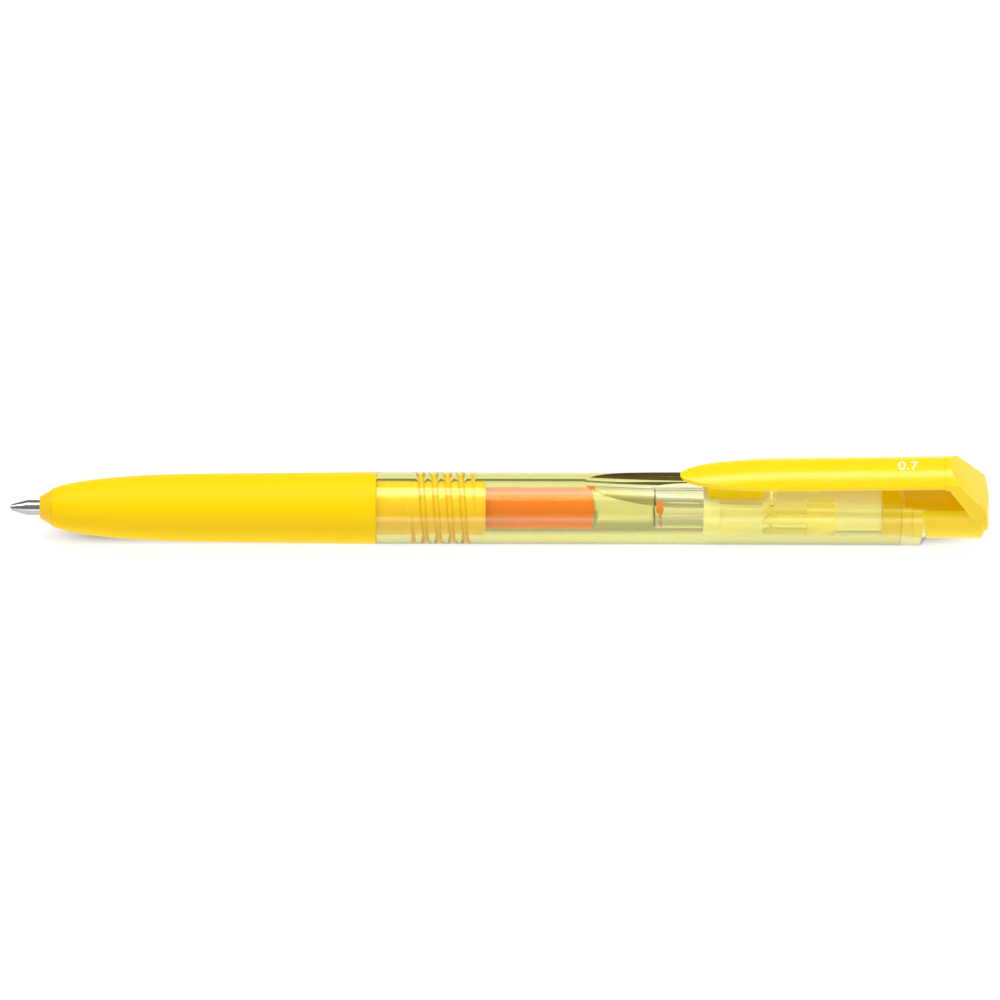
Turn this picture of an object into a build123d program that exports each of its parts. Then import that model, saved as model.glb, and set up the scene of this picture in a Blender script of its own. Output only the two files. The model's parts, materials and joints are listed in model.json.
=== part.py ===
"""A retractable gel pen, as its separate pieces, in millimetres.

+X runs along the pen from the writing tip to the knock, +Z points to the clip. The origin is
on the centreline, where the rubber grip ends and the clear barrel begins. The pen is modelled
with its tip out.
"""

import os
from math import asin, cos, radians, sin

from build123d import *

# ---- driving dimensions (mm) ----
BARREL_R, BORE_R, BARREL_END = 5.15, 3.9, 78.5
PLAIN_END, REAR_R = 29.6, 5.25  # the barrel is cylindrical up to here, then drafted to this
MOUTH_R, MOUTH_X = 4.25, 74.9  # counterbore that the knock slides in
FLAT_X, FLAT_Z, FLAT_END_Z = 47.6, 3.55, 3.05  # clip-side flat: where it levels, and its heights
SCOOP_R = 100.0  # the flat runs in on this radius
NOSE_X, NOSE_R, NOSE_BORE_R = -48.1, 1.62, 1.3
SHANK_R, SHANK_END = 3.87, 15.6
GRIP_FRONT_X = -46.3
TUBE_R, TUBE_BORE_R, TUBE_FRONT, TUBE_END = 3.0, 2.6, -24.0, 48.0
REFILL_BORE_R = 3.2  # in the front barrel
SPRING_SEAT_X, SPRING_BACK_X = -42.5, -30.0
SPRING_R, SPRING_WIRE, SPRING_TURNS = 2.1, 0.4, 9
THREAD_PITCH, THREAD_CREST_R, THREAD_START, THREAD_LENGTH = 1.9, 4.32, 4.9, 9.2
TIP_R, TIP_SHOULDER_X, TIP_FRONT_X, BALL_R, BALL_X = 1.10, -50.0, -52.2, 0.35, -52.05
MENISCUS_X, GREASE_END = 31.7, 39.8
FINGERS, FINGER_ANGLE, FINGER_HALF = 4, 67.5, 11.0  # guide fingers, degrees from +Z to -Y
FIN_ANGLE, FIN_HALF, FIN_R = 45.0, 5.5, 3.8  # rotor fins, tip out
GUIDE_FRONT, GUIDE_RING, GUIDE_BACK = 54.8, 61.4, 65.4
ROTOR_FRONT, ROTOR_COLLAR_END, ROTOR_BACK = 46.7, 49.0, 55.8
CAM_FRONT, CAM_STEP, CAM_BACK, CAM_R = 57.1, 63.2, 74.4, 3.15
CROWN_TEETH, TOOTH_H = 8, 0.55
KNOCK_R, KNOCK_FRONT, KNOCK_STEP, KNOCK_END = 4.2, 72.1, 76.5, 86.8
KNOCK_FLAT_Z = 2.72
CLIP_TIP_X, CLIP_SEAM_X, CLIP_HALF_W = 43.3, 81.0, 3.15
CLIP_EDGE_Z, CLIP_SLOPE, CROWN_R, CLIP_RIM = 7.5, 1.0, 4.8, 0.7  # at the seam; degrees
FOOT_X, FOOT_HALF_W, FOOT_Z, FIN_RELIEF_R = (47.0, 55.8), 1.9, 3.68, 3.95
HEAD_END_X, DOME_R = 87.6, 20.0

AXIS = Axis.X
FAR = 30.0  # half-length of cutting tools


def turned(points):
    """A solid of revolution about the pen's axis from (x, radius) corners."""
    face = make_face(Polyline(*[(x, r) for x, r in points], close=True))
    return revolve(face, AXIS)


def rod(x0, x1, r, bore=0.0):
    return turned([(x0, bore), (x1, bore), (x1, r), (x0, r)])


def side_prism(points, half_width=FAR):
    """A prism across the pen from (x, z) corners."""
    return extrude(Plane.XZ * make_face(Polyline(*points, close=True)), half_width, both=True)


def sector(x0, x1, r0, r1, angle, half):
    """Part of a tube wall, centred at an angle from +Z towards -Y."""
    wedge = [(0, 0)]
    for a in (angle - half, angle, angle + half):
        wedge.append((-FAR * sin(radians(a)), FAR * cos(radians(a))))
    slab = Pos(x0, 0, 0) * extrude(Plane.YZ * make_face(Polyline(*wedge, close=True)), x1 - x0)
    return rod(x0, x1, r1, r0) & slab


def around(count, first, shape):
    """The shape repeated about the axis, the first one turned by an angle."""
    return [Rot(first + n * 360 / count, 0, 0) * shape for n in range(count)]


def thread(root_r, crest_r, grow):
    """The helical ridge of the barrel joint; grow widens it for the female side."""
    helix = Helix(THREAD_PITCH, THREAD_LENGTH, root_r)
    foot, crest = 0.5 + grow, 0.24 + grow
    height = crest_r - root_r
    tooth = Polyline((0, -foot), (height, -crest), (height, crest), (0, foot), close=True)
    ridge = sweep(Plane(helix @ 0, x_dir=(1, 0, 0), z_dir=helix % 0) * make_face(tooth), helix,
                  is_frenet=True)
    return Pos(THREAD_START, 0, 0) * Rot(0, 90, 0) * ridge


def flat_cutter(drop=0.0):
    """What the clip-side flat takes away: a long scoop, then a flat falling to the rear."""
    run_in = (2 * SCOOP_R * (BARREL_R + 0.3 - FLAT_Z)) ** 0.5
    half = FLAT_X - run_in / 2
    start = (FLAT_X - run_in, BARREL_R + 0.3 - drop)
    middle = (half, FLAT_Z + (run_in / 2) ** 2 / (2 * SCOOP_R) - drop)
    level, end = (FLAT_X, FLAT_Z - drop), (BARREL_END + 1, FLAT_END_Z - drop)
    outline = [
        ThreePointArc(start, middle, level),
        Polyline(level, end, (BARREL_END + 1, FAR), (start[0], FAR), start),
    ]
    return extrude(Plane.XZ * make_face(outline), FAR, both=True)


def rear_barrel():
    tube = turned([
        (0, BORE_R + 0.15), (0.15, BORE_R), (MOUTH_X, BORE_R), (MOUTH_X, MOUTH_R),
        (BARREL_END, MOUTH_R), (BARREL_END, MOUTH_R + 0.1), (BARREL_END - 0.7, REAR_R),
        (PLAIN_END, BARREL_R), (0, BARREL_R),
    ])
    return tube - thread(BORE_R - 0.12, THREAD_CREST_R + 0.06, 0.06) - flat_cutter()


UNDER_GRIP = [(GRIP_FRONT_X, 2.25), (-42.5, 3.1), (-38.0, 3.5), (-34.0, 3.7), (-1.2, 3.7),
              (-1.2, 4.6), (0, 4.6)]


def front_barrel():
    shell = turned([
        (NOSE_X, NOSE_BORE_R), (NOSE_X, NOSE_R), (GRIP_FRONT_X, 2.65), *UNDER_GRIP,
        (0, SHANK_R), (SHANK_END - 0.3, SHANK_R), (SHANK_END, SHANK_R - 0.3),
        (SHANK_END, REFILL_BORE_R), (-31.8, REFILL_BORE_R), (-32.5, 2.5),
        (SPRING_SEAT_X, 2.5), (SPRING_SEAT_X, NOSE_BORE_R),
    ])
    return shell + thread(SHANK_R - 0.1, THREAD_CREST_R, 0.0)


def grip():
    outer = [(GRIP_FRONT_X, 2.7), (-45.3, 3.08), (-43.6, 3.5), (-39.5, 4.13), (-32.4, 4.67),
             (-19.5, 4.95), (0, BARREL_R)]
    outline = [
        Spline(*outer),
        Polyline(outer[-1], *reversed(UNDER_GRIP), outer[0]),
    ]
    return revolve(make_face(outline), AXIS)


def writing_ball():
    return Pos(BALL_X, 0, 0) * Sphere(BALL_R)


def tip_socket():
    point = turned([
        (TIP_FRONT_X, 0), (TIP_FRONT_X, 0.46), (TIP_SHOULDER_X, TIP_R), (-41.0, TIP_R),
        (-41.0, 0.9), (-36.0, 0.9), (-36.0, 0.6), (-50.4, 0.6), (-50.8, 0.18), (-51.5, 0.18),
        (-51.5, 0),
    ])
    return point - Pos(BALL_X, 0, 0) * Sphere(BALL_R + 0.02)


def tip_holder():
    return turned([
        (-41.0, 0.9), (-41.0, 1.45), (-40.7, 1.75), (SPRING_BACK_X, 1.75), (SPRING_BACK_X, 2.95),
        (TUBE_FRONT, 2.95), (TUBE_FRONT, 2.58), (-19.5, 2.58), (-19.0, 2.4), (-19.0, 1.6),
        (-30.5, 1.6), (-32.0, 0.6), (-36.0, 0.6), (-36.0, 0.9),
    ])


def return_spring():
    length = SPRING_BACK_X - SPRING_SEAT_X - SPRING_WIRE - 0.1
    helix = Helix(length / SPRING_TURNS, length, SPRING_R)
    wire = sweep(Plane(helix @ 0, z_dir=helix % 0) * Circle(SPRING_WIRE / 2), helix,
                 is_frenet=True)
    return Pos(SPRING_SEAT_X + SPRING_WIRE / 2 + 0.05, 0, 0) * Rot(0, 90, 0) * wire


def ink_tube():
    return rod(TUBE_FRONT, TUBE_END, TUBE_R, TUBE_BORE_R)


INK_R = TUBE_BORE_R - 0.01


def meniscus(apex):
    """Half of a round end on the axis, from the tube's wall to its apex."""
    sagitta = 0.9
    r = (INK_R**2 + sagitta**2) / (2 * sagitta)
    half = asin(INK_R / r) / 2
    return ThreePointArc((apex - sagitta, INK_R), (apex - r + r * cos(half), r * sin(half)),
                         (apex, 0))


def ink_column():
    """Ink from the tip to its rounded rear end, through the holder's bore."""
    end = meniscus(MENISCUS_X)
    bore = Polyline(end @ 1, (-50.3, 0), (-50.3, 0.55), (-31.9, 0.55), (-30.4, 1.55),
                    (-18.95, 1.55), (-18.95, INK_R), end @ 0)
    return revolve(make_face([end, bore]), AXIS)


def follower_grease():
    """The clear grease that follows the ink, from the ink's rounded end."""
    front = meniscus(MENISCUS_X + 0.02)
    body = Polyline(front @ 1, (GREASE_END - 0.5, 0), (GREASE_END, INK_R), front @ 0)
    return revolve(make_face([front, body]), AXIS)


def ink_residue():
    """A smear of ink that the follower left on the tube's wall."""
    return sector(GREASE_END + 0.05, GREASE_END + 1.0, INK_R - 0.12, INK_R, 62, 32)


def cam_guide():
    """The ring in the bore whose slant-ended fingers guide and stop the rotor's fins."""
    outer_r, finger_r, ring_r, top_z = BORE_R - 0.02, 2.9, 3.3, 3.15
    guide = turned([
        (GUIDE_FRONT, finger_r), (GUIDE_FRONT, outer_r), (GUIDE_BACK, outer_r),
        (GUIDE_BACK, ring_r), (GUIDE_RING, ring_r), (GUIDE_RING, finger_r),
    ])
    half_gap = 180 / FINGERS - FINGER_HALF
    guide -= around(FINGERS, FINGER_ANGLE + 180 / FINGERS,
                    sector(GUIDE_FRONT - 1, GUIDE_RING, 2, 6, 0, half_gap))
    slant = make_face(Polyline((GUIDE_FRONT - 1, -1), (GUIDE_FRONT, -1), (GUIDE_FRONT + 1.5, 1),
                               (GUIDE_FRONT - 1, 1), close=True))
    guide -= around(FINGERS, FINGER_ANGLE, extrude(slant, 6))
    return guide - side_prism([(50, top_z), (70, top_z), (70, 9), (50, 9)])


def crown(x_root, height, r_in, r_out, towards):
    """V-teeth standing on a ring, pointing along the axis."""
    step = 360 / CROWN_TEETH
    ring = []
    for n in range(CROWN_TEETH):
        half_chord = r_out * sin(radians(step / 2)) * 0.96
        tooth = Polyline((x_root - 0.1 * towards, -half_chord),
                         (x_root - 0.1 * towards, half_chord),
                         (x_root + height * towards, 0), close=True)
        prism = extrude(make_face(tooth), r_out + 1)
        ring.append(Rot(n * step, 0, 0) * prism)
    low, high = sorted((x_root - 0.2 * towards, x_root + (height + 0.1) * towards))
    band = rod(low, high, r_out, r_in)
    return [tooth & band for tooth in ring]


def rotor():
    """The turning cam: collar that holds the refill, fins, crown teeth and pivot stem."""
    body = turned([
        (ROTOR_FRONT, 3.08), (ROTOR_FRONT, FIN_R - 0.15), (ROTOR_FRONT + 0.15, FIN_R),
        (ROTOR_COLLAR_END, FIN_R), (ROTOR_COLLAR_END, 2.7), (ROTOR_BACK, 2.7),
        (ROTOR_BACK, 1.2), (60.5, 1.2), (60.5, 0), (53.0, 0), (53.0, 1.8),
        (TUBE_END + 0.1, 1.8), (TUBE_END + 0.1, 3.08),
    ])
    fin = sector(ROTOR_COLLAR_END - 0.1, 55.2, 2.6, FIN_R, 0, FIN_HALF)
    fin -= extrude(make_face(Polyline((56, -1), (54.6, -1), (55.6, 1), (56, 1), close=True)), 6)
    for piece in around(FINGERS, FIN_ANGLE, fin) + crown(ROTOR_BACK, TOOTH_H, 1.6, 2.7, 1):
        body += piece
    return body


def knock_cam():
    """The plunger that pushes the rotor, with matching crown teeth."""
    body = turned([
        (CAM_FRONT, 1.3), (CAM_FRONT, 2.7), (CAM_STEP, 2.7), (CAM_STEP + 0.3, CAM_R),
        (CAM_BACK, CAM_R), (CAM_BACK, 2.3), (63.0, 2.3), (62.0, 1.3),
    ])
    return body + crown(CAM_FRONT, TOOTH_H, 1.6, 2.7, -1)


def knock_sleeve():
    """The yellow push-button sleeve: round in the bore, D-shaped under the clip."""
    body = turned([
        (KNOCK_FRONT, CAM_R), (KNOCK_FRONT, 3.7), (KNOCK_FRONT + 0.15, 3.85),
        (KNOCK_STEP, 3.85), (KNOCK_STEP, KNOCK_R), (KNOCK_END - 0.4, KNOCK_R),
        (KNOCK_END, 3.8), (KNOCK_END, 0), (75.2, 0), (75.2, 2.3), (74.45, 2.3), (74.45, CAM_R),
    ])
    body -= side_prism([(74.6, 4.3), (74.6, 3.85), (75.6, KNOCK_FLAT_Z), (90, KNOCK_FLAT_Z),
                        (90, 9), (74.6, 9)])
    return body - plug(76.4, 90, 0.0)


def plug(x0, x1, gap):
    """The D-shaped plug of the head, and with no gap its pocket in the sleeve."""
    top = 2.1 - gap
    return rod(x0, x1, 3.1 - gap) - side_prism([(x0 - 1, top), (x1 + 1, top), (x1 + 1, 9),
                                                (x0 - 1, 9)])


def clip_band(x0, x1):
    """The clip's crowned cross-section, drawn along the clip's slight slope."""
    edge = CLIP_HALF_W
    rise = CROWN_R - (CROWN_R**2 - edge**2) ** 0.5
    outline = [
        ThreePointArc((-edge, 0), (0, rise), (edge, 0)),
        Polyline((edge, 0), (edge, -CLIP_RIM), (-edge, -CLIP_RIM), (-edge, 0)),
    ]
    strip = extrude(Plane.YZ * make_face(outline), x1 - x0)
    at_seam = Pos(CLIP_SEAM_X, 0, CLIP_EDGE_Z) * Rot(0, -CLIP_SLOPE, 0)
    return at_seam * (Pos(x0 - CLIP_SEAM_X, 0, 0) * strip)


def clip():
    """The leaf of the clip, with the foot that rides on the barrel's flat."""
    leaf = clip_band(CLIP_TIP_X - 1, CLIP_SEAM_X)
    near = [(CLIP_TIP_X, 0), (CLIP_TIP_X + 0.8, 1.2), (CLIP_TIP_X + 3, 2.05),
            (CLIP_TIP_X + 6, 2.62), (CLIP_TIP_X + 15, CLIP_HALF_W + 0.02)]
    plan = [
        Spline(*[(x, -y) for x, y in reversed(near)], *near[1:]),
        Polyline(near[-1], (CLIP_SEAM_X - 0.02, near[-1][1]),
                 (CLIP_SEAM_X - 0.02, -near[-1][1]), (near[-1][0], -near[-1][1])),
    ]
    leaf &= extrude(make_face(plan), 12)
    droop = ThreePointArc((CLIP_TIP_X - 0.3, 6.8), (CLIP_TIP_X + 5, 7.68), (CLIP_TIP_X + 14, 8.4))
    above = Polyline(droop @ 1, (CLIP_TIP_X + 14, 12), (CLIP_TIP_X - 0.3, 12), droop @ 0)
    leaf -= extrude(Plane.XZ * make_face([droop, above]), FAR, both=True)
    low, high = FOOT_X
    foot = side_prism([(low + 0.5, FOOT_Z), (high - 0.8, FOOT_Z), (high, 6.6), (low, 6.6)],
                      FOOT_HALF_W)
    return leaf + (foot - rod(low - 5, high + 5, FIN_RELIEF_R))


def clip_head():
    """The root of the clip: block over the sleeve, plug inside it, facet and domed end."""
    x0, x1 = CLIP_SEAM_X, HEAD_END_X + 1
    edge_z = CLIP_EDGE_Z + 0.08
    crown_z = edge_z + CROWN_R - (CROWN_R**2 - CLIP_HALF_W**2) ** 0.5
    section = [
        ThreePointArc((-CLIP_HALF_W, edge_z), (0, crown_z), (CLIP_HALF_W, edge_z)),
        Polyline((CLIP_HALF_W, edge_z), (KNOCK_R - 0.12, 1.2), (-KNOCK_R + 0.12, 1.2),
                 (-CLIP_HALF_W, edge_z)),
    ]
    block = Pos(x0, 0, 0) * extrude(Plane.YZ * make_face(section), x1 - x0)
    block -= side_prism([(x0 - 1, CLIP_EDGE_Z - CLIP_RIM), (81.6, CLIP_EDGE_Z - CLIP_RIM),
                         (84.4, KNOCK_FLAT_Z), (85.4, 1.2), (85.4, 0), (x0 - 1, 0)])
    block -= rod(x0, KNOCK_END, KNOCK_R + 0.01) - side_prism(
        [(x0 - 2, KNOCK_FLAT_Z), (90, KNOCK_FLAT_Z), (90, 9), (x0 - 2, 9)])
    head = block + plug(78.0, x1, 0.01)
    head -= side_prism([(81.8, 8.75), (87.0, 3.15), (90, -0.08), (90, 12), (81.8, 12)])
    return head & (Pos(HEAD_END_X - DOME_R, 0, 0) * Sphere(DOME_R))


PARTS = [rear_barrel, front_barrel, grip, return_spring, writing_ball, tip_socket, tip_holder,
         ink_tube, ink_column, follower_grease, ink_residue, cam_guide, rotor, knock_cam,
         knock_sleeve, clip_head, clip]

os.makedirs("parts", exist_ok=True)
for make in PARTS:
    export_step(make(), f"parts/{make.__name__}.step")
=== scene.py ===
"""The looks of a retractable gel pen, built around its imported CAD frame.

The frame is in metres: +X runs from the writing tip to the knock, +Z points to the clip, and
the origin is where the grip meets the clear barrel. Shape code here is in millimetres.
"""

import json
import math

import bmesh
import bpy
import numpy as np
from mathutils import Matrix, Vector


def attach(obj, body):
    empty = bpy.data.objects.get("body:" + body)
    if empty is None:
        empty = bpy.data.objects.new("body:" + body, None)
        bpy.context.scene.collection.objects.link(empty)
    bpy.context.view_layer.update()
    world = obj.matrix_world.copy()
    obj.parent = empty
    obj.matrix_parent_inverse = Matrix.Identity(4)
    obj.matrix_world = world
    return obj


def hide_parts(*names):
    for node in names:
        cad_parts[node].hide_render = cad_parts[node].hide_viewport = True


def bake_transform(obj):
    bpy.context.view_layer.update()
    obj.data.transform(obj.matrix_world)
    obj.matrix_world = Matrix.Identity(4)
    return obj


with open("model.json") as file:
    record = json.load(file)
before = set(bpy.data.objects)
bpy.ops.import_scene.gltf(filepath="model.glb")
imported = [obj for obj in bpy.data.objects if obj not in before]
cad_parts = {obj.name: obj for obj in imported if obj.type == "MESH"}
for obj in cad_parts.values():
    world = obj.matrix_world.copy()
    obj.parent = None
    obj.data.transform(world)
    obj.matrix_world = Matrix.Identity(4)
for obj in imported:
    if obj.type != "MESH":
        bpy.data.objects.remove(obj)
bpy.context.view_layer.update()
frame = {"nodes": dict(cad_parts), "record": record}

MM = 0.001
TAU = 2 * math.pi

# ---- driving dimensions (mm) ----
BARREL_R, BORE_R, BARREL_END = 5.15, 3.9, 78.5
FLOOR_Z = -5.25

# ---- the camera's view (degrees and mm) ----
ELEVATION, ROLL = 44.4, 0.1
VIEW_X, VIEW_RISE, VIEW_WIDTH = 17.66, 1.17, 143.0
LENS, SENSOR = 300.0, 36.0


# ======== materials ========


def material(name, color, **sockets):
    """A material with one Principled shader, its sockets set by name."""
    mat = bpy.data.materials.new(name)
    mat.use_nodes = True
    shader = mat.node_tree.nodes["Principled BSDF"]
    shader.inputs["Base Color"].default_value = (*color, 1)
    for socket, value in sockets.items():
        shader.inputs[socket.replace("_", " ")].default_value = value
    return mat


def absorb(mat, color, density):
    """Tints what passes through a clear material, more the further it goes."""
    tree = mat.node_tree
    volume = tree.nodes.new("ShaderNodeVolumeAbsorption")
    volume.inputs["Color"].default_value = (*color, 1)
    volume.inputs["Density"].default_value = density
    tree.links.new(volume.outputs["Volume"], tree.nodes["Material Output"].inputs["Volume"])
    return mat


def lets_light_in(mat):
    """Lamps shine straight through to what is behind, instead of being stopped."""
    tree = mat.node_tree
    path = tree.nodes.new("ShaderNodeLightPath")
    through = tree.nodes.new("ShaderNodeBsdfTransparent")
    mix = tree.nodes.new("ShaderNodeMixShader")
    tree.links.new(path.outputs["Is Shadow Ray"], mix.inputs["Fac"])
    tree.links.new(tree.nodes["Principled BSDF"].outputs["BSDF"], mix.inputs[1])
    tree.links.new(through.outputs["BSDF"], mix.inputs[2])
    tree.links.new(mix.outputs["Shader"], tree.nodes["Material Output"].inputs["Surface"])
    return mat


def surface_noise(mat, scale, bump=0.0, rough=(0.0, 0.0), depth=0.00002):
    """Fine unevenness from noise in object space: a bump, and a spread of roughness."""
    tree = mat.node_tree
    shader = tree.nodes["Principled BSDF"]
    coords = tree.nodes.new("ShaderNodeTexCoord")
    noise = tree.nodes.new("ShaderNodeTexNoise")
    noise.inputs["Scale"].default_value = scale
    noise.inputs["Detail"].default_value = 4
    tree.links.new(coords.outputs["Object"], noise.inputs["Vector"])
    if bump:
        node = tree.nodes.new("ShaderNodeBump")
        node.inputs["Strength"].default_value = bump
        node.inputs["Distance"].default_value = depth
        tree.links.new(noise.outputs["Fac"], node.inputs["Height"])
        tree.links.new(node.outputs["Normal"], shader.inputs["Normal"])
    if rough[1]:
        ramp = tree.nodes.new("ShaderNodeMapRange")
        ramp.inputs["To Min"].default_value, ramp.inputs["To Max"].default_value = rough
        tree.links.new(noise.outputs["Fac"], ramp.inputs["Value"])
        tree.links.new(ramp.outputs["Result"], shader.inputs["Roughness"])
    return mat


# The faint yellow emission is a painted glow that lightens parts of the clear barrel which would
# otherwise render dark.
CLEAR = absorb(material("clear_plastic", (1, 1, 1), Transmission_Weight=1.0, Roughness=0.015,
                        IOR=1.49, Emission_Color=(1.0, 0.85, 0.15, 1),
                        Emission_Strength=0.025), (0.77, 0.76, 0.14), 480)
# The orange emission is a painted glow that brightens the front barrel's shank where it would
# lie in shade.
TINTED = absorb(material("tinted_plastic", (1, 0.68, 0.01), Transmission_Weight=0.25,
                         Emission_Color=(1.0, 0.5, 0.0, 1), Emission_Strength=0.08,
                         Roughness=0.25, IOR=1.4), (1.0, 0.8, 0.1), 150)
RUBBER = surface_noise(material("soft_rubber", (0.98, 0.64, 0.0), IOR=1.45,
                                Specular_IOR_Level=0.15), 2500, 0.1,
                       (0.42, 0.55))
# The orange emission is a painted glow: it lights the shaded pocket under the clip and other
# shade on the yellow parts, standing in for light that passes through the plastic.
YELLOW = surface_noise(material(
    "yellow_plastic", (0.84, 0.66, 0.0), IOR=1.45, Subsurface_Weight=0.6,
    Emission_Color=(1.0, 0.42, 0.0, 1), Emission_Strength=0.13,
    Subsurface_Scale=0.0012, Subsurface_Radius=(1.0, 0.45, 0.02)), 400, 0.03, (0.2, 0.27))
# The warm emission is a painted glow that brightens the cam guide where it lies in shade inside
# the barrel.
PALE = absorb(material("pale_plastic", (1, 0.95, 0.5), Transmission_Weight=0.7,
                       Emission_Color=(1.0, 0.85, 0.3, 1), Emission_Strength=0.06,
                       Roughness=0.12, IOR=1.45), (0.97, 0.9, 0.1), 250)
# The warm emission is a painted glow that lightens the dark recesses between the rotor's fins
# and the other shaded inner parts.
NATURAL = material("natural_plastic", (0.99, 0.93, 0.6), Roughness=0.4, IOR=1.45,
                   Emission_Color=(1.0, 0.85, 0.35, 1), Emission_Strength=0.12,
                   Subsurface_Weight=0.4, Subsurface_Scale=0.001,
                   Subsurface_Radius=(1.0, 0.9, 0.5))
TUBE = material("tube_plastic", (0.99, 0.99, 0.95), Transmission_Weight=1.0, Roughness=0.06,
                IOR=1.4, Specular_IOR_Level=0.2)
INK = absorb(material("ink", (0.93, 0.25, 0.004), Transmission_Weight=0.4, Roughness=0.05,
                      IOR=1.36, Specular_IOR_Level=0.2), (0.985, 0.85, 0.0), 500)
GREASE = absorb(material("grease", (1, 1, 1), Transmission_Weight=1.0, Roughness=0.05,
                         IOR=1.15), (0.9, 0.88, 0.3), 120)
NICKEL = surface_noise(material("nickel_silver", (0.5, 0.49, 0.47), Metallic=1.0), 900, 0.02,
                       (0.16, 0.26))
CARBIDE = material("carbide", (0.5, 0.5, 0.52), Metallic=1.0, Roughness=0.1)
STEEL = material("spring_steel", (0.6, 0.6, 0.6), Metallic=1.0, Roughness=0.25)
DRIED_INK = material("dried_ink", (0.85, 0.22, 0.005), Roughness=0.4)
WHITE = material("white_print", (0.95, 0.95, 0.85), Roughness=0.4)
for glassy in (CLEAR, TUBE, GREASE, PALE, INK):
    lets_light_in(glassy)

BY_SLOT = {
    "clear_plastic": CLEAR, "tinted_plastic": TINTED, "soft_rubber": RUBBER,
    "yellow_plastic": YELLOW, "pale_plastic": PALE, "natural_plastic": NATURAL,
    "tube_plastic": TUBE, "ink": INK, "grease": GREASE, "nickel_silver": NICKEL,
    "carbide": CARBIDE, "spring_steel": STEEL,
}


# ======== mesh tools (millimetres, in the row frame) ========


def placed(name, data):
    """A new object in the scene that shows some mesh, curve, light or camera data."""
    obj = bpy.data.objects.new(name, data)
    bpy.context.scene.collection.objects.link(obj)
    return obj


def settled(obj):
    """The mesh that an object shows once its modifiers or its curve are worked out."""
    shown = obj.evaluated_get(bpy.context.evaluated_depsgraph_get())
    return bpy.data.meshes.new_from_object(shown)


def closed_mesh(name, verts, faces):
    """Mesh data from millimetres, without doubles and with its normals outward."""
    mesh = bpy.data.meshes.new(name)
    mesh.from_pydata([tuple(v) for v in np.asarray(verts) * MM], [], faces)
    work = bmesh.new()
    work.from_mesh(mesh)
    bmesh.ops.remove_doubles(work, verts=work.verts, dist=1e-7)
    bmesh.ops.dissolve_degenerate(work, edges=work.edges, dist=1e-8)
    bmesh.ops.recalc_face_normals(work, faces=work.faces)
    work.to_mesh(mesh)
    work.free()
    return mesh


def mesh_object(name, verts, faces, mat, body, replaced=(), crease=32):
    """A closed smooth-shaded mesh that rides on a body and stands for some CAD nodes."""
    piece = placed(name, closed_mesh(name, verts, faces))
    dress(piece, mat, crease)
    if replaced:
        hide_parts(*replaced)
    if body:
        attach(piece, body)
    return piece


def dress(piece, mat, crease=32):
    """Gives a piece its material and smooth shading, sharp where it turns past the crease."""
    mesh = piece.data
    mesh.materials.clear()
    mesh.materials.append(mat)
    mesh.shade_smooth()
    mesh.set_sharp_from_angle(angle=math.radians(crease))


def fillet(corners, steps=5):
    """A closed outline from corners (x, r) or (x, r, radius), rounded where they say so."""
    out = []
    for n, corner in enumerate(corners):
        here = np.array(corner[:2], float)
        if len(corner) < 3:
            out.append(here)
            continue
        sides = []
        for other in (corners[n - 1], corners[(n + 1) % len(corners)]):
            side = np.array(other[:2], float) - here
            sides.append(side / np.linalg.norm(side))
        half = math.acos(np.clip(sides[0] @ sides[1], -1, 1)) / 2
        middle = sides[0] + sides[1]
        centre = here + middle / np.linalg.norm(middle) * corner[2] / math.sin(half)
        arms = [here + side * corner[2] / math.tan(half) - centre for side in sides]
        cross = arms[0][0] * arms[1][1] - arms[0][1] * arms[1][0]
        turn = math.atan2(cross, arms[0] @ arms[1])
        for k in range(steps + 1):
            c, s = math.cos(turn * k / steps), math.sin(turn * k / steps)
            out.append(centre + np.array([[c, -s], [s, c]]) @ arms[0])
    return out


def lathe(outline, segments=144, shape=None):
    """Verts and faces of a closed (x, r) outline turned about the pen's axis.

    shape(x, r, angle) may move the radii; the angle runs from +Y towards +Z."""
    xs, rs = np.array(outline, float).T[:, :, None]
    angles = np.arange(segments)[None, :] * TAU / segments
    radii = rs + 0 * angles if shape is None else shape(xs, rs, angles)
    verts = np.stack([xs + 0 * angles, radii * np.cos(angles), radii * np.sin(angles)], -1)
    faces = []
    for i in range(len(outline)):
        j = (i + 1) % len(outline)
        if outline[i][1] < 1e-6 and outline[j][1] < 1e-6:
            continue
        for k in range(segments):
            m = (k + 1) % segments
            faces.append((i * segments + k, i * segments + m, j * segments + m,
                          j * segments + k))
    return verts.reshape(-1, 3), faces


def turned(name, corners, mat, body, segments=144, shape=None):
    """A turned piece from the corners of its outline, standing for the CAD node of its name."""
    verts, faces = lathe(fillet(corners), segments, shape)
    return mesh_object(name, verts, faces, mat, body, [name])


def loft(rings):
    """Verts and faces of closed rings of equal length joined in a row, with capped ends."""
    count = len(rings[0])
    verts = np.concatenate(rings)
    faces = [tuple(range(count))[::-1],
             tuple(range((len(rings) - 1) * count, len(rings) * count))]
    for i in range(len(rings) - 1):
        for k in range(count):
            m = (k + 1) % count
            faces.append((i * count + k, i * count + m, (i + 1) * count + m,
                          (i + 1) * count + k))
    return verts, faces


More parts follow.
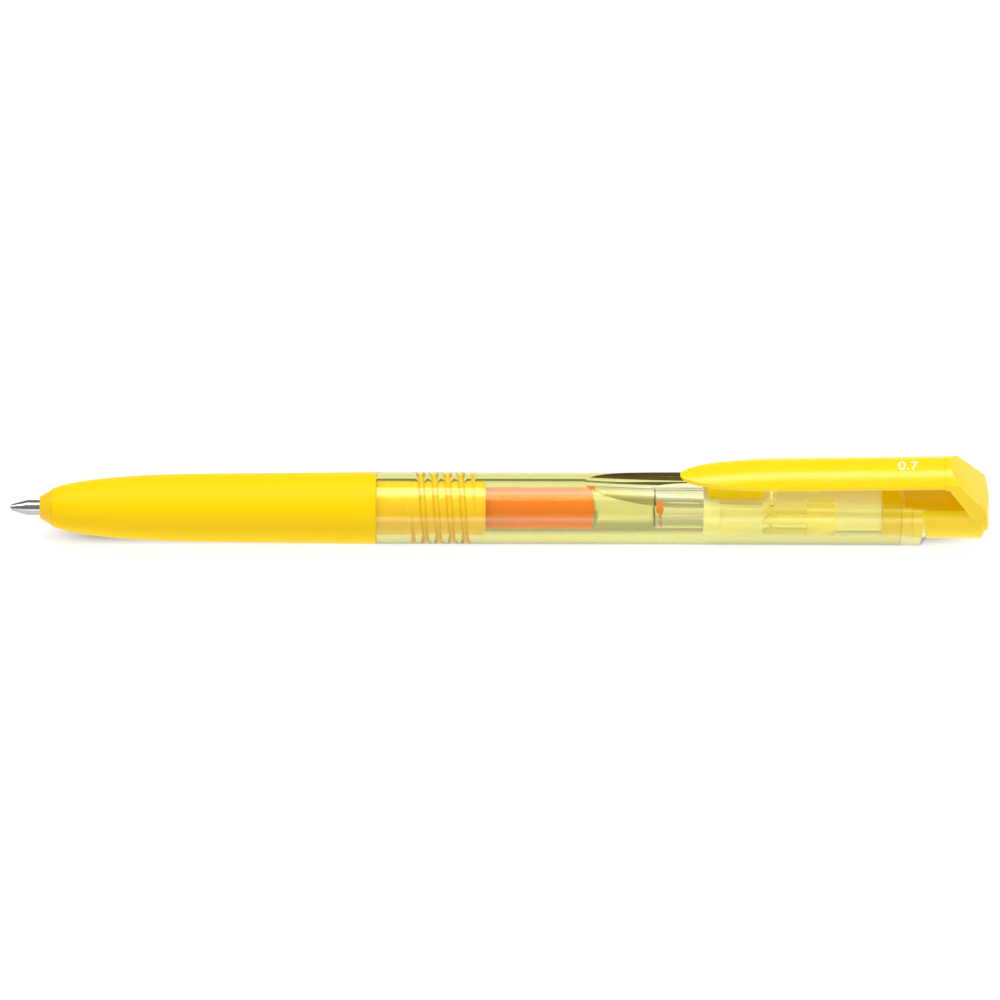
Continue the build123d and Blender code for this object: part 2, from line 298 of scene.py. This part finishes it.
def cubic(points, xs):
    """The natural cubic through (x, r) points, at the given xs."""
    px, pr = np.array(points, float).T
    n, h = len(px), np.diff(px)
    system, right = np.eye(n), np.zeros(n)
    for i in range(1, n - 1):
        system[i, i - 1:i + 2] = h[i - 1], 2 * (h[i - 1] + h[i]), h[i]
        right[i] = 6 * ((pr[i + 1] - pr[i]) / h[i] - (pr[i] - pr[i - 1]) / h[i - 1])
    bend = np.linalg.solve(system, right)
    i = np.clip(np.searchsorted(px, xs) - 1, 0, n - 2)
    a, b = px[i + 1] - xs, xs - px[i]
    return ((bend[i] * a**3 + bend[i + 1] * b**3) / (6 * h[i])
            + (pr[i] / h[i] - bend[i] * h[i] / 6) * a
            + (pr[i + 1] / h[i] - bend[i + 1] * h[i] / 6) * b)


def cut(piece, verts, faces):
    """Takes a closed shape away from a piece."""
    tool = placed("cutter", closed_mesh("cutter", verts, faces))
    modifier = piece.modifiers.new("cut", "BOOLEAN")
    modifier.object, modifier.operation, modifier.solver = tool, "DIFFERENCE", "EXACT"
    result = settled(piece)
    piece.modifiers.clear()
    piece.data = result
    bpy.data.objects.remove(tool)


def refined(node, body, mat, bevel, segments=3):
    """A CAD node's own shape with its hard edges rounded off."""
    mesh = frame["nodes"][node].data.copy()
    work = bmesh.new()
    work.from_mesh(mesh)
    bmesh.ops.remove_doubles(work, verts=work.verts, dist=2e-6)
    bmesh.ops.dissolve_limit(work, angle_limit=math.radians(1.0), verts=work.verts,
                             edges=work.edges)
    work.to_mesh(mesh)
    work.free()
    piece = placed(node + "_moulded", mesh)
    modifier = piece.modifiers.new("round", "BEVEL")
    modifier.width, modifier.segments = bevel * MM, segments
    modifier.limit_method, modifier.angle_limit = "ANGLE", math.radians(30)
    piece.data = settled(piece)
    piece.modifiers.clear()
    dress(piece, mat, 40)
    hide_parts(node)
    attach(piece, body)
    return piece


# ======== barrel ========

THREAD_PITCH, THREAD_START, THREAD_END, THREAD_FADE = 1.9, 4.9, 14.2, 1.2
THREAD_HEIGHT, THREAD_FOOT, THREAD_CREST, THREAD_PHASE = 0.43, 0.55, 0.20, -0.07
GROOVE_SHARE, GROOVE_FOOT, GROOVE_CREST, GROOVE_X = 0.35, 0.9, 0.05, (4.1, 15.1)
SHANK_R, SHANK_END, REFILL_BORE_R, RELIEF = 3.87, 15.6, 3.2, 0.06
NOSE_X, NOSE_HOLE_R, GRIP_FRONT, SEAT_X, SPRING_BORE_R = -48.1, 1.3, -46.3, -42.5, 2.5
UNDER_GRIP = [(GRIP_FRONT, 2.25), (-42.5, 3.1), (-38.0, 3.5), (-34.0, 3.7), (-1.2, 3.7),
              (-1.2, 4.6), (0, 4.6)]
PLAIN_END, REAR_R, MOUTH_X, MOUTH_R = 29.6, 5.24, 74.9, 4.25
FLAT_X, FLAT_Z, FLAT_END_Z, SCOOP_R = 47.6, 3.55, 3.05, 100.0
THREADED_END = 15.2


def thread_rise(x, angle, foot=THREAD_FOOT, crest=THREAD_CREST):
    """How far a right-handed helical ridge stands up, from its half widths at foot and crest."""
    phase = ((x - THREAD_START) / THREAD_PITCH - angle / TAU + THREAD_PHASE) % 1.0
    off = np.abs(phase - 0.5) * THREAD_PITCH
    flank = np.clip((foot - off) / (foot - crest), 0, 1)
    fade = np.clip(np.minimum(x - THREAD_START, THREAD_END - x) / THREAD_FADE, 0, 1)
    return THREAD_HEIGHT * flank * flank * (3 - 2 * flank) * fade


def fine(x0, x1, r, step=0.09):
    """Closely spaced places along a straight wall."""
    return [(x, r) for x in np.linspace(x0, x1, int(abs(x1 - x0) / step) + 1)]


def male_thread(x, r, angle):
    """Raises the ridge from the plain shank and leaves every other wall as it is."""
    on_shank = (np.abs(r - SHANK_R) < 0.001) & (x > 0)
    return r + np.where(on_shank, thread_rise(x, angle), 0)


def female_thread(x, r, angle):
    """Opens a shallow, soft groove in the plain bore where the shank's ridge runs."""
    low, high = GROOVE_X
    on_bore = (np.abs(r - BORE_R) < 0.001) & (x > low) & (x < high)
    groove = GROOVE_SHARE * thread_rise(x, angle, GROOVE_FOOT, GROOVE_CREST)
    return r + np.where(on_bore, groove, 0)


def make_front_barrel():
    """The tinted front barrel: nose, core under the grip, and threaded shank."""
    outline = [
        (NOSE_X, NOSE_HOLE_R, 0.08), (NOSE_X, 1.62, 0.12), (GRIP_FRONT, 2.65, 0.1),
        *UNDER_GRIP, (0, SHANK_R),
        (3.7, SHANK_R), (3.8, SHANK_R - RELIEF), (3.95, SHANK_R - RELIEF), (4.05, SHANK_R),
        *fine(4.2, 14.9, SHANK_R), (15.2, SHANK_R), (15.3, SHANK_R - 0.2),
        (SHANK_END, SHANK_R - 0.22), (SHANK_END, REFILL_BORE_R, 0.1),
        (-31.8, REFILL_BORE_R), (-32.5, SPRING_BORE_R), (SEAT_X, SPRING_BORE_R),
        (SEAT_X, NOSE_HOLE_R),
    ]
    turned("front_barrel", outline, TINTED, "barrel", shape=male_thread)


def make_grip():
    """The rubber sleeve, swelling from the nose to the barrel's full thickness."""
    corners = [(GRIP_FRONT, 2.72), (-45.3, 3.08), (-43.6, 3.5), (-39.5, 4.13), (-32.4, 4.67),
               (-19.5, 4.95), (-0.12, BARREL_R)]
    stations = np.concatenate([np.linspace(GRIP_FRONT, -38, 40), np.linspace(-37.5, -0.12, 60)])
    outer = zip(stations, cubic(corners, stations))
    outline = [(GRIP_FRONT - 0.02, 2.66), *outer, (0, BARREL_R - 0.12)]
    turned("grip", outline + list(reversed(UNDER_GRIP)), RUBBER, "barrel", segments=160)


def flat_line():
    """The clip-side flat as (x, z): the scoop's arc, then the part that falls to the rear."""
    run_in = (2 * SCOOP_R * (BARREL_R + 0.5 - FLAT_Z)) ** 0.5
    xs = np.linspace(FLAT_X - run_in, FLAT_X, 48)
    return [(x, FLAT_Z + (FLAT_X - x) ** 2 / (2 * SCOOP_R)) for x in xs] + [
        (BARREL_END + 1, FLAT_END_Z)]


def make_rear_barrel():
    """The clear rear barrel: threaded bore, knock's mouth, and flat on the clip side."""
    outline = fillet([
        (0, SHANK_R + 0.06, 0.1), (0, BARREL_R, 0.1), (PLAIN_END, BARREL_R),
        (BARREL_END - 0.7, REAR_R, 0.1), (BARREL_END, MOUTH_R + 0.1, 0.03),
        (BARREL_END, MOUTH_R, 0.03), (MOUTH_X, MOUTH_R), (MOUTH_X, BORE_R, 0.05),
        *reversed(fine(4.0, THREADED_END, BORE_R)),
    ])
    verts, faces = lathe(outline, 192, female_thread)
    piece = mesh_object("rear_barrel", verts, faces, CLEAR, None, ["rear_barrel"])
    line = flat_line()
    above, beside = 9, 7  # clear of the barrel
    side = line + [(BARREL_END + 1, above), (line[0][0], above)]
    rings = [np.array([(x, y, z) for x, z in side]) for y in (-beside, beside)]
    cut(piece, *loft(rings))
    dress(piece, CLEAR, 30)
    true_normals(piece, line)
    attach(piece, "barrel")


def true_normals(piece, line):
    """Gives the turned faces the normals of a surface of revolution, and the flat its own.

    The threaded wall keeps the normals that its mesh has."""
    mesh = piece.data
    line_x, line_z = np.array(line).T * MM
    where = np.array([v.co for v in mesh.vertices])
    on_flat = np.abs(where[:, 2] - np.interp(where[:, 0], line_x, line_z)) < 2e-6
    normals = [None] * len(mesh.loops)
    for face in mesh.polygons:
        lean = face.normal.x
        slope = max(FLAT_X - face.center.x / MM, 0) / SCOOP_R or (
            (FLAT_Z - FLAT_END_Z) / (BARREL_END + 1 - FLAT_X))
        upward = Vector((slope, 0, 1)).normalized()
        flat = all(on_flat[v] for v in face.vertices) and face.normal.dot(upward) > 0.998
        inward = face.normal.y * face.center.y + face.normal.z * face.center.z < 0
        threaded = inward and face.center.x < THREADED_END * MM
        share = math.sqrt(max(0.0, 1 - lean * lean)) * (-1 if inward else 1)
        for loop in face.loop_indices:
            if flat:
                normals[loop] = upward[:]
            elif threaded:
                normals[loop] = mesh.corner_normals[loop].vector[:]
            else:
                _, y, z = where[mesh.loops[loop].vertex_index]
                size = math.hypot(y, z) or 1
                normals[loop] = (lean, share * y / size, share * z / size)
    mesh.normals_split_custom_set(normals)


def make_guide():
    """The ring with four slant-ended fingers that guides the cam."""
    refined("cam_guide", "barrel", PALE, 0.06, 2)


def make_spring():
    """The return spring, with its end coils closed up."""
    wire, coil_r, turns, sides, steps = 0.2, 2.1, 11, 12, 40
    start, end = SEAT_X + wire, SHOULDER_X - wire
    closed = 2 * wire
    free = (end - start - 2 * closed) / (turns - 2)
    rings = []
    for turn in np.linspace(0, turns, turns * steps + 1):
        x = (start + closed * min(turn, 1) + free * np.clip(turn - 1, 0, turns - 2)
             + closed * max(turn - (turns - 1), 0))
        a = turn * TAU
        centre = np.array([x, coil_r * math.cos(a), coil_r * math.sin(a)])
        out, along = np.array([0, math.cos(a), math.sin(a)]), np.array([1, 0, 0])
        ring = [centre + wire * (math.cos(b) * out + math.sin(b) * along)
                for b in np.arange(sides) * TAU / sides]
        rings.append(np.array(ring))
    spring = mesh_object("return_spring", *loft(rings), STEEL, None, ["return_spring"], 60)
    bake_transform(spring)


# ======== refill ========

TIP_R, BALL_R, BALL_X = 1.10, 0.345, -52.05
SOCKET_X, SOCKET_END, STEM_R, STEM_END, FEED_R = -52.2, -41.0, 0.9, -36.0, 0.6
HOLDER_X, HOLDER_R, SHOULDER_X, SHOULDER_R = -40.9, 1.75, -30.0, 2.95
PLUG_R, PLUG_END, PLUG_BORE = 2.55, -19.0, 1.6
TUBE_R, TUBE_BORE, TUBE_FRONT, TUBE_END = 3.0, 2.6, -24.0, 48.0
FILL_R = TUBE_BORE + 0.01  # a filling wets the wall
MENISCUS_X, GREASE_END, SAGITTA = 31.7, 39.8, 0.9
DROP_ANGLE, SMEAR_TURN = 124, 80  # degrees from +Y; the drop faces up and to the front
DROP_HALF_W, DROP_SHARE, TAIL_HALF_W = 0.55, 0.4, 0.16


def make_tip():
    """The metal point with its ball, and the plastic holder that plugs into the tube."""
    turned("tip_socket", [
        (SOCKET_X, 0.325), (SOCKET_X, 0.46, 0.06), (-50.0, TIP_R, 0.5), (SOCKET_END, TIP_R),
        (SOCKET_END, STEM_R), (STEM_END, STEM_R), (STEM_END, FEED_R),
        (-50.4, FEED_R), (-50.8, 0.18), (-51.6, 0.18), (-51.78, 0.37), (-52.1, 0.37),
    ], NICKEL, "refill", segments=96)
    half = [(BALL_X - BALL_R * math.cos(a), BALL_R * math.sin(a))
            for a in np.linspace(0, math.pi, 25)]
    verts, faces = lathe(half, 48)
    mesh_object("writing_ball", verts, faces, CARBIDE, "ball", ["writing_ball"], 60)
    turned("tip_holder", [
        (HOLDER_X, STEM_R), (HOLDER_X, HOLDER_R, 0.3), (SHOULDER_X, HOLDER_R, 0.1),
        (SHOULDER_X, SHOULDER_R, 0.15), (TUBE_FRONT, SHOULDER_R, 0.1), (TUBE_FRONT, PLUG_R),
        (PLUG_END, PLUG_R, 0.3), (PLUG_END, PLUG_BORE), (SHOULDER_X - 0.5, PLUG_BORE),
        (-32.0, FEED_R), (STEM_END, FEED_R), (STEM_END, STEM_R),
    ], NATURAL, "refill")


def cap(apex, r, steps=10):
    """A round end from the tube's wall to its apex on the axis."""
    ball = (r * r + SAGITTA**2) / (2 * SAGITTA)
    angles = np.linspace(math.asin(r / ball), 0, steps)
    return [(apex - ball + ball * math.cos(a), ball * math.sin(a)) for a in angles]


def make_refill():
    """The tube and what fills it: ink up to the meniscus, then the grease behind it."""
    turned("ink_tube", [
        (TUBE_FRONT, TUBE_BORE), (TUBE_FRONT, TUBE_R, 0.1), (TUBE_END, TUBE_R, 0.1),
        (TUBE_END, TUBE_BORE, 0.05),
    ], TUBE, "refill")
    turned("ink_column", [
        (-50.3, 0), (-50.3, 0.55), (-31.9, 0.55), (-30.4, 1.55), (-18.95, 1.55),
        (-18.95, FILL_R), *cap(MENISCUS_X, FILL_R),
    ], INK, "refill")
    turned("follower_grease", [
        *reversed(cap(MENISCUS_X + 0.01, FILL_R)), (GREASE_END, FILL_R),
        (GREASE_END - 0.3, 2.2), (GREASE_END - 0.55, 1.2), (GREASE_END - 0.6, 0),
    ], GREASE, "refill")


def make_residue():
    """The smear of ink left on the tube's wall: a drop with a thin tail round the wall."""
    rings = []
    for t in np.linspace(0, 1, 40):
        angle = math.radians(DROP_ANGLE + SMEAR_TURN * t)
        drop = DROP_HALF_W * math.sin(math.pi * (t * 2.4 + 0.03)) ** 0.6 if t < DROP_SHARE else 0
        half = max(drop, TAIL_HALF_W * (1 - (2 * t - 1) ** 4) + 0.01)
        x = GREASE_END + 0.6 + 0.25 * t
        thick = 0.02 + 0.13 * min(1, half / 0.5)
        ring = []
        for dx, rise in ((-half, 0), (half, 0), (half * 0.6, thick), (-half * 0.6, thick)):
            reach = FILL_R - rise
            ring.append((x + dx, reach * math.cos(angle), reach * math.sin(angle)))
        rings.append(np.array(ring))
    mesh_object("ink_residue", *loft(rings), DRIED_INK, "refill", ["ink_residue"], 60)


# ======== cam mechanism and knock ========


def make_mechanism():
    """The pieces behind the refill, from the rotor to the head that the clip grows from."""
    refined("rotor", "rotor", NATURAL, 0.06, 2)
    refined("knock_cam", "knock", NATURAL, 0.06, 2)
    refined("knock_sleeve", "knock", YELLOW, 0.08)
    refined("clip_head", "knock", YELLOW, 0.12, 4)


# ======== clip ========

CLIP_TIP, CLIP_SEAM, CLIP_HALF_W, CLIP_TAPER = 43.3, 81.0, 3.15, 15.0
EDGE_Z, EDGE_SLOPE, CROWN_R, RIM, EDGE_ROUND = 7.5, math.tan(math.radians(1.0)), 4.8, 0.7, 0.14
FOOT_X, FOOT_HALF_W, FOOT_Z, FOOT_TOP_Z, RELIEF_R = (47.0, 55.8), 1.9, 3.68, 6.6, 3.95
MARK_X, MARK_SIZE, MARK_LIFT = 74.25, 2.4, 0.015


def clip_half_width(x):
    """The leaf's outline from above: half an ellipse, then parallel sides."""
    s = np.clip((x - CLIP_TIP) / CLIP_TAPER, 0, 1)
    return CLIP_HALF_W * math.sqrt(max(0.0, 1 - (1 - s) ** 2))


def clip_edge_z(x):
    """The height of the leaf's side edges, falling gently towards its tip."""
    return EDGE_Z - EDGE_SLOPE * (CLIP_SEAM - x)


def crown_z(x, y, half_w):
    """The height of the leaf's crowned top where it is half_w wide to each side."""
    return clip_edge_z(x) + math.sqrt(CROWN_R**2 - y * y) - math.sqrt(CROWN_R**2 - half_w**2)


def clip_ring(x):
    """One cross-section of the leaf: crowned top, rounded edges, flat underside."""
    w, z = max(clip_half_width(x), 0.12), clip_edge_z(x)
    bottom = z - RIM * min(1.0, 0.35 + w / 2)
    soft = min(EDGE_ROUND, w / 3)
    inner = w - soft * 1.5
    crown = [(y, crown_z(x, y, w)) for y in np.linspace(-inner, inner, 25)]
    corners = [(-w, bottom, soft), (-w, z, soft), *crown, (w, z, soft), (w, bottom, soft)]
    return np.array([(x, y, height) for y, height in fillet(corners, 4)])


def make_clip():
    """The clip's leaf, in rings set close together at the tip, and its foot."""
    quarter = np.linspace(0.06, math.pi / 2, 36)
    xs = [CLIP_TIP + CLIP_TAPER * (1 - math.cos(t)) for t in quarter]
    xs += list(np.linspace(xs[-1] + 0.8, CLIP_SEAM - 0.005, 28))
    verts, faces = loft([clip_ring(x) for x in xs])
    leaf = mesh_object("clip_leaf", verts, faces, YELLOW, None, ["clip"], 35)
    bends_with_clip(leaf)
    make_foot()


def bends_with_clip(obj):
    """Bakes a piece's placement into its mesh; nothing here makes it follow the leaf's bend."""
    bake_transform(obj)


def make_foot():
    """The foot under the clip's tip, hollowed to clear the rotor's fins."""
    low, high = FOOT_X
    half, soft, edge = FOOT_HALF_W, 0.15, 0.12
    groove = math.acos(FOOT_Z / RELIEF_R)
    section = [(-half, FOOT_TOP_Z), (-half, FOOT_Z + soft), (-half + soft / 2, FOOT_Z),
               (-RELIEF_R * math.sin(groove), FOOT_Z)]
    section += [(RELIEF_R * math.sin(a), RELIEF_R * math.cos(a))
                for a in np.linspace(-groove, groove, 13)[1:-1]]
    section += [(-y, z) for y, z in reversed(section[:4])]
    rings = []
    for x_top, lean in ((low, 0.5), (low + edge, 0.45), (high - edge, -0.75), (high, -0.8)):
        pinch = edge if x_top in FOOT_X else 0.0
        ring = []
        for y, z in section:
            depth = (FOOT_TOP_Z - z) / (FOOT_TOP_Z - FOOT_Z)
            raised = pinch if z < FOOT_TOP_Z else 0.0
            ring.append((x_top + lean * depth, y * (1 - pinch / half), z + raised))
        rings.append(np.array(ring))
    mesh_object("clip_foot", *loft(rings), YELLOW, "clip", ["clip"], 35)


def make_mark():
    """The line width, 0.7, printed in white on the clip's crown."""
    curve = bpy.data.curves.new("mark", "FONT")
    curve.body, curve.size, curve.align_y = "0.7", MARK_SIZE * MM, "CENTER"
    temp = placed("mark_curve", curve)
    mesh = settled(temp)
    bpy.data.objects.remove(temp)
    work = bmesh.new()
    work.from_mesh(mesh)
    bmesh.ops.subdivide_edges(work, edges=work.edges, cuts=2)
    bmesh.ops.triangulate(work, faces=work.faces)
    for v in work.verts:
        x, y = MARK_X + v.co.x / MM, v.co.y / MM
        v.co = Vector((x, y, crown_z(x, y, CLIP_HALF_W) + MARK_LIFT)) * MM
    work.to_mesh(mesh)
    work.free()
    mark = placed("line_width_mark", mesh)
    dress(mark, WHITE)
    bends_with_clip(mark)


# ======== stage ========

# The floor glows less in a painted shadow under the pen; the two ranges below bound it in X and
# Y.
FLOOR_SIDE, FLOOR_GLOW, PAINTED_SHADOW_GLOW = 3.0, 0.93, 0.3  # half side in metres; emission strengths
PAINTED_SHADOW_X, PAINTED_SHADOW_Y = (-44, 82, 12), (-1.5, 3.5, 2.5)  # low edge, high edge and softness, mm


def soft_edge(tree, value, edge, run):
    """Nodes that go smoothly from 0 to 1 as the value passes an edge, or back if run < 0."""
    ramp = tree.nodes.new("ShaderNodeMapRange")
    ramp.interpolation_type = "SMOOTHSTEP"
    ramp.inputs["From Min"].default_value = (edge - run / 2) * MM
    ramp.inputs["From Max"].default_value = (edge + run / 2) * MM
    tree.links.new(value, ramp.inputs["Value"])
    return ramp.outputs["Result"]


def math_node(tree, operation, one, other):
    """A node that joins two values by an operation."""
    node = tree.nodes.new("ShaderNodeMath")
    node.operation = operation
    tree.links.new(one, node.inputs[0])
    tree.links.new(other, node.inputs[1])
    return node.outputs["Value"]


def make_floor():
    """A glowing white floor with a soft painted shadow under the pen, where it glows less."""
    mesh = bpy.data.meshes.new("floor")
    side, z = FLOOR_SIDE, FLOOR_Z * MM
    mesh.from_pydata([(-side, -side, z), (side, -side, z), (side, side, z), (-side, side, z)],
                     [], [(0, 1, 2, 3)])
    white = material("floor_white", (0.2, 0.2, 0.2), Roughness=0.9, Specular_IOR_Level=0.1,
                     Emission_Color=(1, 1, 1, 1))
    mesh.materials.append(white)
    tree = white.node_tree
    coords = tree.nodes.new("ShaderNodeTexCoord")
    split = tree.nodes.new("ShaderNodeSeparateXYZ")
    tree.links.new(coords.outputs["Object"], split.inputs["Vector"])
    edges = [soft_edge(tree, split.outputs[axis], edge, run)
             for axis, (low, high, soft) in (("X", PAINTED_SHADOW_X), ("Y", PAINTED_SHADOW_Y))
             for edge, run in ((low, soft), (high, -soft))]
    # shade is the mask of the painted shadow under the pen.
    shade = edges[0]
    for other in edges[1:]:
        shade = math_node(tree, "MULTIPLY", shade, other)
    glow = tree.nodes.new("ShaderNodeMapRange")
    glow.inputs["To Min"].default_value = FLOOR_GLOW
    glow.inputs["To Max"].default_value = PAINTED_SHADOW_GLOW
    tree.links.new(shade, glow.inputs["Value"])
    shader = tree.nodes["Principled BSDF"]
    tree.links.new(glow.outputs["Result"], shader.inputs["Emission Strength"])
    placed("floor", mesh)


def area_light(name, place, target, size, watts):
    """A rectangular lamp that faces its target; places and sizes are in metres."""
    data = bpy.data.lights.new(name, "AREA")
    data.shape, data.size, data.size_y = "RECTANGLE", *size
    data.energy = watts
    lamp = placed(name, data)
    lamp.location = place
    lamp.rotation_euler = (Vector(target) - Vector(place)).to_track_quat("-Z", "Y").to_euler()


def make_lights():
    """A long strip above, a card in front, and the world."""
    middle = (0.02, 0, 0)
    area_light("overhead_strip", (0.02, 0.10, 0.6), middle, (1.3, 0.28), 5.6)
    area_light("front_card", (0.02, -0.9, 0.10), middle, (1.5, 0.22), 2.4)
    make_world()


def make_world():
    """White light that grows with height; seen directly, it is as pale as the floor."""
    world = bpy.data.worlds.new("studio")
    bpy.context.scene.world = world
    world.use_nodes = True
    tree = world.node_tree
    coords = tree.nodes.new("ShaderNodeTexCoord")
    split = tree.nodes.new("ShaderNodeSeparateXYZ")
    rise = tree.nodes.new("ShaderNodeMapRange")
    rise.inputs["From Min"].default_value, rise.inputs["From Max"].default_value = 0.35, 0.95
    rise.inputs["To Min"].default_value, rise.inputs["To Max"].default_value = 0.22, 0.36
    tree.links.new(coords.outputs["Generated"], split.inputs["Vector"])
    tree.links.new(split.outputs["Z"], rise.inputs["Value"])
    path = tree.nodes.new("ShaderNodeLightPath")
    strength = math_node(tree, "MAXIMUM", path.outputs["Is Camera Ray"], rise.outputs["Result"])
    tree.links.new(strength, tree.nodes["Background"].inputs["Strength"])
    tree.nodes["Background"].inputs["Color"].default_value = (1, 1, 1, 1)


def make_camera():
    """A long lens that looks down on the pen from the side."""
    data = bpy.data.cameras.new("camera")
    data.lens, data.sensor_width = LENS, SENSOR
    data.clip_start, data.clip_end = 0.05, 20
    camera = placed("camera", data)
    rise = math.radians(ELEVATION)
    back = Vector((0, -math.cos(rise), math.sin(rise)))
    up = Vector((0, math.sin(rise), math.cos(rise)))
    target = Vector((VIEW_X * MM, 0, 0)) + up * VIEW_RISE * MM
    camera.location = target + back * (VIEW_WIDTH * MM * LENS / SENSOR)
    aim = (-back).to_track_quat("-Z", "Y").to_matrix().to_4x4()
    turn = Matrix.Rotation(math.radians(ROLL), 4, back)
    camera.rotation_mode = "QUATERNION"
    camera.rotation_quaternion = (turn @ aim).to_quaternion()
    bpy.context.scene.camera = camera


# ======== build ========


def dress_frame():
    """Gives every CAD node the material of its slot."""
    for row in frame["record"]["subparts"]:
        node = frame["nodes"][row["node"]]
        node.data.materials.clear()
        node.data.materials.append(BY_SLOT[row["material_slot"]])


dress_frame()
make_front_barrel()
make_grip()
make_rear_barrel()
make_guide()
make_spring()
make_tip()
make_refill()
make_residue()
make_mechanism()
make_clip()
make_mark()
make_floor()
make_lights()
make_camera()
bpy.context.scene.view_settings.view_transform = "Standard"
